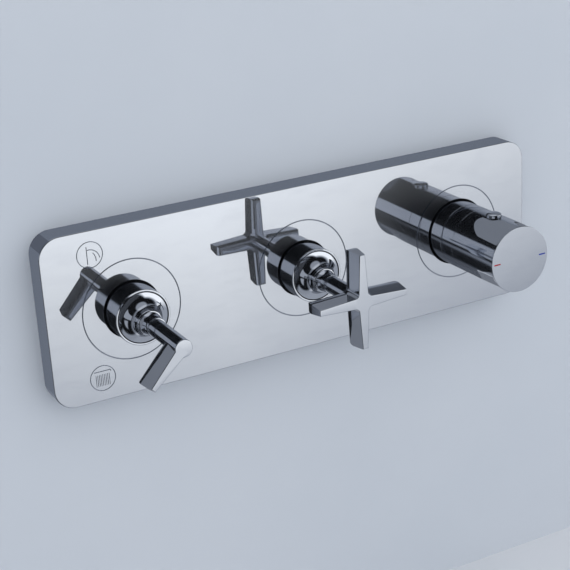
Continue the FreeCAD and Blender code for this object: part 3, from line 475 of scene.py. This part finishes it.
finishes = {
    "plate_chrome": plateChrome(),
    "chrome": chrome("HandleChrome", 0.02),
    "raw_brass": rawBrass(),
    "zinc_steel": steel("ZincSteel", colour(0.42, 0.44, 0.47), colour(0.7, 0.72, 0.75), 0.32, 260),
    "spring_steel": steel("SpringSteel", colour(0.35, 0.36, 0.38), colour(0.6, 0.61, 0.63), 0.24, 900),
    "screw_steel": steel("ScrewSteel", colour(0.5, 0.51, 0.53), colour(0.74, 0.75, 0.77), 0.2, 1200),
    "dark_steel": steel("DarkSteel", colour(0.03, 0.03, 0.035), colour(0.09, 0.09, 0.1), 0.35, 1500),
    "black_rubber": moulded("BlackRubber", colour(0.012, 0.012, 0.013), colour(0.03, 0.03, 0.032), 0.6, 2400),
    "grey_plastic": moulded("GreyPlastic", colour(0.16, 0.165, 0.17), colour(0.22, 0.225, 0.23), 0.42, 1800),
    "white_plastic": moulded("WhitePlastic", colour(0.7, 0.7, 0.68), colour(0.78, 0.78, 0.76), 0.38, 1800),
    "ceramic": moulded("Ceramic", colour(0.78, 0.77, 0.74), colour(0.86, 0.85, 0.83), 0.18, 3000, 0.3),
    "red_enamel": moulded("RedEnamel", colour(0.28, 0.008, 0.012), colour(0.4, 0.014, 0.02), 0.25, 2600, 0.4),
    "blue_enamel": moulded("BlueEnamel", colour(0.01, 0.035, 0.3), colour(0.016, 0.055, 0.42),
                           0.25, 2600, 0.4),
}
for subpart in frame["record"]["subparts"]:
    solid = frame["nodes"][subpart["node"]]
    solid.data.materials.clear()
    solid.data.materials.append(finishes[subpart["material_slot"]])
print("finishes made:", len(finishes))


# Cover plate: a hollow box with three holes, engraved rings and two pictograms

plate = {
    "corner": 15 * mm,
    "edge": 0.6 * mm,
    "wall": 2 * mm,
    "face": 3 * mm,
    "holeGap": 1.1 * mm,
    "holeEdge": 0.25 * mm,
    "drill": 20 * mm,
    "ring": 35 * mm,
    "ringLine": 0.42 * mm,
    "iconLine": 0.3 * mm,
    "icon": 8.9 * mm,
    "iconAcross": 25.5 * mm,
    "iconUp": 43.6 * mm,
    "rail": ((-1.9, -6.4), (-1.9, 5.8)),  # millimetres from here on, from the icon's middle
    "hose": ((-0.5, -3.7), 7.2, 5, 98),  # middle, radius, first and last angle
    "handset": ((-4.0, -4.2), 8.1, -6, 40),
    "head": ((-5.9, 5.0), (5.9, 5.0)),
    "headEnd": ((5.9, 3.9), (5.9, 4.6)),
    "drops": 9,
    "dropsWide": 9.4,
    "dropsStart": -4.8,
    "dropTop": 2.7,
    "dropFoot": -5.6,
    "dropLine": 0.75,  # of the icon's line
}


def grooveRing(place, radius, line):
    clearSelection()
    bpy.ops.mesh.primitive_torus_add(location=place, rotation=alongY, major_radius=radius,
                                     minor_radius=line, major_segments=144, minor_segments=12)
    applyPlace()
    return bpy.context.object


def grooveArc(place, radius, line, start, end):
    # the stretch of a ring from one angle to another, counted from +X towards +Z
    bar = grooveRing(place, radius, line)
    edit(bar)
    for angle, side in ((start, 1), (end, -1)):
        a = math.radians(angle)
        bpy.ops.mesh.select_all(action="SELECT")
        bpy.ops.mesh.bisect(plane_co=place, plane_no=(math.sin(a) * side, 0, -math.cos(a) * side),
                            use_fill=True, clear_outer=True)
    faceOutwards()
    return bar


def grooveBar(start, end, line):
    # a round bar along a straight engraved line
    along = end - start
    clearSelection()
    bpy.ops.mesh.primitive_circle_add(vertices=10, radius=line, fill_type="NGON", location=start,
                                      rotation=along.to_track_quat("Z", "Y").to_euler())
    applyPlace()
    bar = bpy.context.object
    edit(bar)
    bpy.ops.mesh.select_all(action="SELECT")
    bpy.ops.mesh.extrude_region_move(TRANSFORM_OT_translate={"value": along})
    faceOutwards()
    return bar


def moved(place, step):
    across, up = step
    return place + Vector((across, 0, up)) * mm


def iconBar(place, ends, line):
    start, end = ends
    return grooveBar(moved(place, start), moved(place, end), line)


def handShowerIcon(place):
    line = plate["iconLine"]
    cuts = [grooveRing(place, plate["icon"], line), iconBar(place, plate["rail"], line)]
    for centre, radius, start, end in (plate["hose"], plate["handset"]):
        cuts.append(grooveArc(moved(place, centre), radius * mm, line, start, end))
    return cuts


def overheadIcon(place):
    line = plate["iconLine"]
    cuts = [grooveRing(place, plate["icon"], line)]
    cuts += [iconBar(place, plate[key], line) for key in ("head", "headEnd")]
    for i in range(plate["drops"]):
        across = plate["dropsStart"] + plate["dropsWide"] * i / (plate["drops"] - 1)
        ends = ((across, plate["dropFoot"]), (across, plate["dropTop"]))
        cuts.append(iconBar(place, ends, line * plate["dropLine"]))
    return cuts


def coverPlate():
    size = plateHigh - plateLow
    piece = block(middle("cover_plate"), size)
    piece.name = "CoverPlate"
    edit(piece)
    pickEdges(piece, lambda a, b: abs(a.x - b.x) < fine and abs(a.z - b.z) < fine)
    bpy.ops.mesh.bevel(offset=plate["corner"], segments=20)
    pickFaces(piece, lambda place, normal: normal.y > 0.99)
    bpy.ops.mesh.inset(thickness=plate["wall"])
    bpy.ops.mesh.extrude_region_move(
        TRANSFORM_OT_translate={"value": (0, plate["face"] - size.y, 0)})
    done()
    radii = {name: outerRadius(name + "_sleeve") + plate["holeGap"] for name in units}
    for name, x in units.items():
        drill(piece, (x, faceY, 0), radii[name], plate["drill"], 160, alongY)
    edit(piece)
    pickEdges(piece, lambda a, b: max(a.y, b.y) < faceY + fine and onHole(a, radii) and onHole(b, radii))
    bpy.ops.mesh.bevel(offset=plate["holeEdge"], segments=3)
    pickEdges(piece, lambda a, b: max(a.y, b.y) < faceY + fine and onRim(a) and onRim(b))
    bpy.ops.mesh.bevel(offset=plate["edge"], segments=5)
    done()
    grooves = [grooveRing(Vector((x, faceY, 0)), plate["ring"], plate["ringLine"]) for x in units.values()]
    iconX = units["diverter"] - plate["iconAcross"]
    grooves += handShowerIcon(Vector((iconX, faceY, plate["iconUp"])))
    grooves += overheadIcon(Vector((iconX, faceY, -plate["iconUp"])))
    cut(piece, grooves)
    return polished(piece)


def onHole(point, radii):
    near = 0.05 * mm
    return any(abs(math.hypot(point.x - x, point.z) - radii[name]) < near for name, x in units.items())


def onRim(point):
    across = abs(point.x) - (plateHigh.x - plate["corner"])
    up = abs(point.z) - (plateHigh.z - plate["corner"])
    outermost = plate["corner"] - 0.1 * mm
    if across > 0 and up > 0:
        return math.hypot(across, up) > outermost
    return max(across, up) > outermost


settle(coverPlate(), "fixed", "plate_chrome", "cover_plate")
print("cover plate done")


# Fixed sleeves of the three controls, in millimetres

sleeve = {"easing": 0.35, "bore": 17.8, "thermostatBore": 22.2}


def sleevePiece(name, node, bore):
    return polished(tube(name, node, bore, middle(node).x), sleeve["easing"] * mm)


diverterSleeve = sleevePiece("DiverterSleeve", "diverter_sleeve", sleeve["bore"])
toShutoff = (units["shutoff"] - units["diverter"], 0, 0)
shutoffSleeve = copied(diverterSleeve, "ShutoffSleeve", toShutoff)
settle(diverterSleeve, "fixed", "chrome", "diverter_sleeve")
settle(shutoffSleeve, "fixed", "chrome", "shutoff_sleeve")
thermostatSleeve = sleevePiece("ThermostatSleeve", "thermostat_sleeve", sleeve["thermostatBore"])
settle(thermostatSleeve, "fixed", "chrome", "thermostat_sleeve")
print("sleeves done")


# Trumpet-shaped bases of the lever and the cross handle: radii and heights from the plate's face,
# in millimetres

base = {
    "skirt": 17.3,
    "skirtBack": 8.0,
    "skirtWall": 1.5,
    "rim": 18.8,
    "web": 16.7,
    "hub": 9.0,
    "hubBack": 6.0,
    "bore": 4.05,
    "boreEnd": 22.0,
    "socketBore": 5.0,
    "socketSeat": 24.0,
    "ring": 8.9,
    "ringStart": 29.0,
    "ringFront": 29.5,
    "ringEnd": 30.8,
    "neck": 7.6,
    "waist": 6.2,
    "socketRing": 6.7,
    "socketStart": 36.0,
    "end": 41.0,
    "easing": 0.22,
}


def handleBase(name, x):
    b = base
    slant = math.sqrt(0.5)  # sine and cosine of 45 degrees, for a curve's middle
    bellMiddle = (b["skirt"] - (b["skirt"] - b["ring"]) * slant,
                  b["ringStart"] - (b["ringStart"] - b["rim"]) * slant)
    ringMiddle = (b["neck"] + (b["ring"] - b["neck"]) * slant,
                  b["ringFront"] + (b["ringEnd"] - b["ringFront"]) * slant)
    neckMiddle = ((b["neck"] + 2 * b["waist"]) / 3, (b["ringEnd"] + b["socketStart"]) / 2)
    steps = [(b["skirt"], b["skirtBack"]), (b["skirt"], b["rim"]), (bellMiddle, (b["ring"], b["ringStart"])),
             (b["ring"], b["ringFront"]), (ringMiddle, (b["neck"], b["ringEnd"])),
             (neckMiddle, (b["waist"], b["socketStart"])),
             (b["socketRing"], b["socketStart"]), (b["socketRing"], b["end"]), (b["socketBore"], b["end"]),
             (b["socketBore"], b["socketSeat"]), (b["bore"], b["boreEnd"]), (b["bore"], b["hubBack"]),
             (b["hub"], b["hubBack"]), (b["hub"], b["web"]), (b["skirt"] - b["skirtWall"], b["web"]),
             (b["skirt"] - b["skirtWall"], b["skirtBack"])]
    piece = spun(name, scaled(steps), Vector((x, faceY, 0)), axis=(0, -1, 0))
    return polished(piece, b["easing"] * mm)


def scaled(steps):
    # millimetre outline to metres, arcs included
    return [tuple(n * mm for n in s) if not isinstance(s[0], tuple) else tuple(scaled(s)) for s in steps]


diverterBase = handleBase("DiverterHandleBase", units["diverter"])
shutoffBase = copied(diverterBase, "ShutoffHandleBase", toShutoff)
settle(diverterBase, "diverter", "chrome", "diverter_handle_base")
settle(shutoffBase, "shutoff", "chrome", "shutoff_handle_base")
print("handle bases done")


# Lever and cross handle: tapering arms on a round stem, in millimetres

handle = {"front": 82.4, "stem": 6.0, "stemBack": 41.0, "spigot": 4.95, "spigotBack": 28.0,
          "backRound": 3.0, "backStretch": 2.6, "frontEdge": 0.45}
lever = {"angle": 225, "root": 4.0, "tip": 1.8, "reach": 32.0,
         "rootBack": 5.8, "tipBack": 4.0, "reachBack": 34.5, "thick": 17.5}
cross = {"root": 4.0, "tip": 2.05, "reach": 33.0,
         "rootBack": 5.2, "tipBack": 4.25, "reachBack": 34.2, "thick": 17.3, "corner": 3.0}


def stemPiece(name, x):
    h = handle
    steps = [(0, h["spigotBack"]), (h["spigot"], h["spigotBack"]), (h["spigot"], h["stemBack"]),
             (h["stem"], h["stemBack"]), (h["stem"], h["front"]), (0, h["front"])]
    piece = spun(name, scaled(steps), Vector((x, faceY, 0)), axis=(0, -1, 0), rings=64)
    eased(piece, h["frontEdge"] * mm)
    return piece


def arms(name, frontLoop, backLoop, thick, x):
    # bridges the front outline to the back one and closes both ends; the back is rounded while the arms
    # are squeezed flat, so that the rounding comes out deeper than it is wide
    frontY = ahead(handle["front"])
    backY = ahead(handle["front"] - thick / handle["backStretch"])
    front = [Vector((x + s * mm, frontY, t * mm)) for s, t in frontLoop]
    back = [Vector((x + s * mm, backY, t * mm)) for s, t in backLoop]
    piece = startPoint(name, front[0])
    traceLoop(front)
    bpy.ops.mesh.select_all(action="DESELECT")
    bpy.ops.mesh.primitive_plane_add(size=mm)
    bpy.ops.mesh.merge(type="CENTER")
    bpy.ops.transform.translate(value=back[0])
    traceLoop(back)
    mergeAll()
    bpy.ops.mesh.bridge_edge_loops()
    for y in (frontY, backY):
        pickEdges(piece, lambda a, b, y=y: abs(a.y - y) < fine and abs(b.y - y) < fine)
        bpy.ops.mesh.edge_face_add()
    faceOutwards()
    edit(piece)
    pickEdges(piece, lambda a, b: min(a.y, b.y) > backY - fine)
    bpy.ops.mesh.bevel(offset=handle["backRound"] * mm, segments=10)
    bpy.ops.mesh.select_all(action="SELECT")
    bpy.ops.transform.resize(value=(1, handle["backStretch"], 1), center_override=(x, frontY, 0))
    pickEdges(piece, lambda a, b: max(a.y, b.y) < frontY + fine)
    bpy.ops.mesh.bevel(offset=handle["frontEdge"] * mm, segments=3)
    done()
    return piece


def turnedPlace(s, t, degrees):
    a = math.radians(degrees)
    return s * math.cos(a) - t * math.sin(a), s * math.sin(a) + t * math.cos(a)


def leverLoop(root, tip, reach):
    corners = ((0, -root), (reach, -tip), (reach, tip), (0, root))
    return [turnedPlace(s, t, lever["angle"]) for s, t in corners]


def crossLoop(root, tip, reach):
    # one quarter's corners, with the rounded corner between two arms, four times
    slope = (root - tip) / reach
    longSide = math.sqrt(1 + slope**2)
    centre = (root + cross["corner"] * longSide) / (1 + slope)
    near = centre - cross["corner"] / longSide
    far = centre - cross["corner"] * slope / longSide
    between = centre - cross["corner"] / math.sqrt(2)
    loop = []
    for i in range(4):
        quarter = [(reach, -tip), (reach, tip), (far, near)]
        quarter += arcPlaces((far, near), (between, between), (near, far), 8)
        loop += [turnedPlace(s, t, 90 * i) for s, t in quarter]
    return loop


def handlePiece(name, stemName, loop, sizes, x):
    front = loop(sizes["root"], sizes["tip"], sizes["reach"])
    back = loop(sizes["rootBack"], sizes["tipBack"], sizes["reachBack"])
    piece = arms(name, front, back, sizes["thick"], x)
    cut(piece, [stemPiece(stemName, x)], "UNION")
    return polished(piece)


leverPiece = handlePiece("DiverterLever", "LeverStem", leverLoop, lever, units["diverter"])
settle(leverPiece, "diverter", "chrome", "diverter_lever")
crossPiece = handlePiece("ShutoffCrossHandle", "CrossStem", crossLoop, cross, units["shutoff"])
settle(crossPiece, "shutoff", "chrome", "shutoff_cross_handle")
print("handles done")


# Thermostat: stop ring, knob with four finger flats, front disc and safety button, in millimetres

knob = {
    "ringBore": 21.5,
    "ringEasing": 0.2,
    "bore": 19.7,
    "facetStart": 45.5,
    "facetDepth": 2.2,
    "facets": (118, 226, 298, 46),  # degrees round the knob, from +X towards +Z
    "easing": 0.22,
    "drillMiddle": 22,  # how far from the axis a cutter's middle lies
    "setScrewHole": 1.3,
    "setScrewDrill": 8,
    "setScrewAngle": 78,
    "setScrewHeight": 66,
}
disc = {"thick": 1.5, "wall": 2, "fit": 0.05, "easing": 0.3, "markProud": 0.03}
button = {
    "hole": 5.6,
    "drill": 12,
    "radius": 5.3,
    "shoulder": 0.9,  # below the top
    "crown": 3.9,
    "crownDrop": 0.12,
    "flange": 6.6,
    "flangeTop": 17.4,  # from the knob's axis
    "flangeFoot": 15.6,
    "easing": 0.3,
}


def knobPiece():
    piece = tube("ThermostatKnob", "thermostat_knob", knob["bore"], units["thermostat"])
    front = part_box("thermostat_knob")[0].y
    radius = outerRadius("knob_face")
    tilt = math.atan(knob["facetDepth"] * mm / (ahead(knob["facetStart"]) - front))
    edit(piece)
    for angle in knob["facets"]:
        a = math.radians(angle)
        outward = Vector((math.cos(a), 0, math.sin(a)))
        start = Vector((units["thermostat"], ahead(knob["facetStart"]), 0)) + outward * radius
        normal = outward * math.cos(tilt) + Vector((0, -math.sin(tilt), 0))
        bpy.ops.mesh.select_all(action="SELECT")
        bpy.ops.mesh.bisect(plane_co=start, plane_no=normal, use_fill=True, clear_outer=True)
    faceOutwards()
    centre = middle("safety_button")
    place = (centre.x, centre.y, knob["drillMiddle"] * mm)
    drill(piece, place, button["hole"] * mm, button["drill"] * mm, 48)
    a = math.radians(knob["setScrewAngle"])
    outward = Vector((math.cos(a), 0, math.sin(a)))
    place = Vector((units["thermostat"], ahead(knob["setScrewHeight"]), 0))
    drill(piece, place + outward * knob["drillMiddle"] * mm, knob["setScrewHole"] * mm,
          knob["setScrewDrill"] * mm, 24, outward.to_track_quat("Z", "Y").to_euler())
    return polished(piece, knob["easing"] * mm)


def facePiece():
    low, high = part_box("knob_face")
    radius = outerRadius("knob_face")
    inner = knob["bore"] * mm - disc["fit"] * mm
    innermost = inner - disc["wall"] * mm
    behind = low.y + disc["thick"] * mm
    front = low.y + disc["markProud"] * mm  # the enamelled marks stand a hair proud
    outline = [(0, front), (radius, front), (radius, behind), (inner, behind), (inner, high.y),
               (innermost, high.y), (innermost, behind), (0, behind)]
    piece = spun("KnobFace", outline, Vector((units["thermostat"], 0, 0)), rings=192)
    return polished(piece, disc["easing"] * mm)


def buttonPiece():
    b = button
    centre = middle("safety_button")
    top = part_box("safety_button")[1].z
    radius = b["radius"] * mm
    flange = b["flange"] * mm
    steps = [(0, top), (b["crown"] * mm, top - b["crownDrop"] * mm), (radius, top - b["shoulder"] * mm),
             (radius, b["flangeTop"] * mm), (flange, b["flangeTop"] * mm), (flange, b["flangeFoot"] * mm),
             (0, b["flangeFoot"] * mm)]
    piece = spun("SafetyButton", steps, Vector((centre.x, centre.y, 0)), axis=(0, 0, 1), rings=48)
    return polished(piece, b["easing"] * mm)


stopRing = tube("ThermostatStopRing", "thermostat_stop_ring", knob["ringBore"], units["thermostat"])
polished(stopRing, knob["ringEasing"] * mm)
settle(stopRing, "fixed", "chrome", "thermostat_stop_ring")
settle(knobPiece(), "thermostat", "chrome", "thermostat_knob")
settle(facePiece(), "thermostat", "chrome", "knob_face")
settle(buttonPiece(), "button", "chrome", "safety_button")
print("thermostat done")


# Stage: a wall board with an opening behind the plate, and a plain pale floor

room = {"left": -0.75, "right": 0.75, "floor": -0.3, "top": 0.7, "thick": 12 * mm, "floorReach": 1.6,
        "opening": (0.352, 0.05, 0.1)}  # width, depth and height of the cutter


def paint(name, dark, light, rough):
    made, shade = material(name)
    place = shade.coordinates()
    clouds = shade.noise(place, 3, 4, 0.55)
    grain = shade.noise(place, 400, 2, 0.5)
    tint = shade.mixed(shade.between(clouds, 0.3, 0.7), dark, light)
    relief = shade.bump(grain, 0.02 * mm, 0.2)
    shade.finish(shade.surface({"Base Color": tint, "Roughness": rough, "Normal": relief}))
    return made


def wallBoard():
    depth = room["thick"] / 2
    centre = ((room["left"] + room["right"]) / 2, depth, (room["floor"] + room["top"]) / 2)
    board = block(centre, (room["right"] - room["left"], room["thick"], room["top"] - room["floor"]))
    board.name = "WallBoard"
    cut(board, [block((0, depth, 0), room["opening"])])
    board.data.materials.append(paint("WallPaint", colour(0.60, 0.635, 0.69), colour(0.64, 0.67, 0.72), 0.55))
    board.visible_glossy = False  # the metal mirrors the studio, not the stage
    return board


def floorSlab():
    reach = room["floorReach"]
    clearSelection()
    bpy.ops.mesh.primitive_plane_add(size=2 * reach, location=(0, 0, room["floor"]))
    applyPlace()
    slab = bpy.context.object
    slab.name = "Floor"
    slab.data.materials.append(paint("FloorPaint", colour(0.66, 0.68, 0.71), colour(0.7, 0.71, 0.74), 0.6))
    slab.visible_glossy = False
    return slab


wallBoard()
floorSlab()
print("wall and floor done")


# Studio: one surround. Polished metal sees a tall panel on the right, a band and a low corner on the left,
# faint light from below, above, behind and ahead, and a dark room between them. Everything else sees a soft
# sky. A pair of numbers says where a light fades in, along one part of the direction's unit vector.

studio = {
    "tint": colour(0.925, 0.96, 1.0),
    "dimTint": colour(0.76, 0.84, 1.0),
    "backdrop": 0.62,
    "soft": 0.8,
    "softTop": 0.55,
    "softRight": 0.3,
    "dark": 0.008,
    "left": 0.34,
    "below": 0.3,
    "above": 0.3,
    "behind": 0.2,  # from the wall's side
    "ahead": 0.05,
    "secondMirror": 0.33,  # what is left of the light after two polished surfaces
}
rightPanel = {
    "lean": 0.28,
    "pivot": 0.35,
    "edge": (0.14, 0.27),
    "top": (0.86, 0.48),
    "topSlope": 0.5,
    "wallSide": (0.15, -0.05),
    "horizon": -0.36,
    "horizonBend": 0.39,
    "horizonSlope": 0.55,
    "bright": 0.78,  # on the horizon
    "growth": 3.6,  # upwards from there
    "least": 0.35,
    "most": 1.05,
}
leftPanel = {
    "side": (-0.41, -0.46),
    "wallSide": (0.05, -0.1),
    "foot": (-0.17, -0.11),
    "top": (0.3, 0.24),
    "cornerSide": (-0.5, -0.62),
    "cornerFront": (-0.35, -0.5),
    "cornerTop": (-0.19, -0.3),
}
faintLight = {
    "below": (-0.46, -0.56),
    "belowSide": (-0.3, -0.1),
    "above": (0.8, 0.9),
    "behind": (-0.05, 0.2),
    "ahead": (-0.9, -0.96),
}


def rightAndFaint(shade, direction):
    p = rightPanel
    faint = faintLight
    x, y, z = shade.axes(direction)
    horizon = p["horizon"] + p["horizonSlope"] * shade.maths("MAXIMUM", x - p["horizonBend"], 0.0)
    height = shade.clamped(p["bright"] + p["growth"] * (z - horizon), p["least"], p["most"])
    past = shade.between(x - p["lean"] * (z + p["pivot"]), *p["edge"])
    right = past * shade.between(z + p["topSlope"] * x, *p["top"]) * height
    right = right * shade.between(y, *p["wallSide"])
    below = shade.between(z, *faint["below"]) * shade.between(x, *faint["belowSide"]) * studio["below"]
    above = shade.between(z, *faint["above"]) * studio["above"]
    behind = shade.between(y, *faint["behind"]) * studio["behind"]
    front = shade.between(y, *faint["ahead"]) * studio["ahead"]
    return studio["dark"] + right + behind + above + front + below * (1.0 - past)


def leftLight(shade, direction):
    p = leftPanel
    x, y, z = shade.axes(direction)
    side = shade.between(x, *p["side"]) * shade.between(y, *p["wallSide"])
    band = side * shade.between(z, *p["foot"]) * shade.between(z, *p["top"])
    corner = shade.between(x, *p["cornerSide"]) * shade.between(y, *p["cornerFront"])
    return (band + corner * shade.between(z, *p["cornerTop"])) * studio["left"]


def studioLight():
    world = bpy.data.worlds.new("Studio")
    bpy.context.scene.world = world
    world.use_nodes = True
    world.cycles.sampling_method = "NONE"  # rays find the studio by themselves, so each one's kind is known
    shade = Shade(world.node_tree)
    direction = shade.node("ShaderNodeTexCoord", output="Generated")
    right, _, up = shade.axes(direction)
    fromCamera = shade.node("ShaderNodeLightPath", output="Is Camera Ray")
    fromMetal = shade.node("ShaderNodeLightPath", output="Is Glossy Ray")
    mirrors = shade.node("ShaderNodeLightPath", output="Glossy Depth")
    dimmed = shade.between(mirrors, 1.2, 1.8, 1.0, studio["secondMirror"])
    mirrored = rightAndFaint(shade, direction) * dimmed + leftLight(shade, direction)
    soft = studio["soft"] + studio["softTop"] * shade.between(up, -0.2, 0.9) + studio["softRight"] * right
    light = soft + (mirrored - soft) * fromMetal
    light = light + (studio["backdrop"] - light) * fromCamera
    tint = shade.mixed(shade.between(light, 0.1, 0.9), studio["dimTint"], studio["tint"])
    background = shade.node("ShaderNodeBackground", None, {"Color": tint, "Strength": light})
    shade.finish(background, "ShaderNodeOutputWorld")


studioLight()
print("studio done")


# Camera at the photograph's angle; focal length and frame are in the photograph's pixels

view = {"place": (-0.4502, -0.868, 0.3504), "yaw": 27.13, "pitch": -20.66, "roll": -3.45,
        "focal": 1456.6, "frame": 570}


def photographCamera():
    data = bpy.data.cameras.new("Camera")
    data.sensor_width = 36
    data.lens = view["focal"] / view["frame"] * data.sensor_width
    camera = bpy.data.objects.new("Camera", data)
    bpy.context.scene.collection.objects.link(camera)
    turn = Matrix.Rotation(-math.radians(view["yaw"]), 4, "Z")
    turn = turn @ Matrix.Rotation(math.radians(90 + view["pitch"]), 4, "X")
    turn = turn @ Matrix.Rotation(math.radians(view["roll"]), 4, "Z")
    camera.matrix_world = Matrix.Translation(view["place"]) @ turn
    bpy.context.scene.camera = camera


photographCamera()
bpy.context.scene.view_settings.view_transform = "Standard"
print("camera done")

clearSelection()
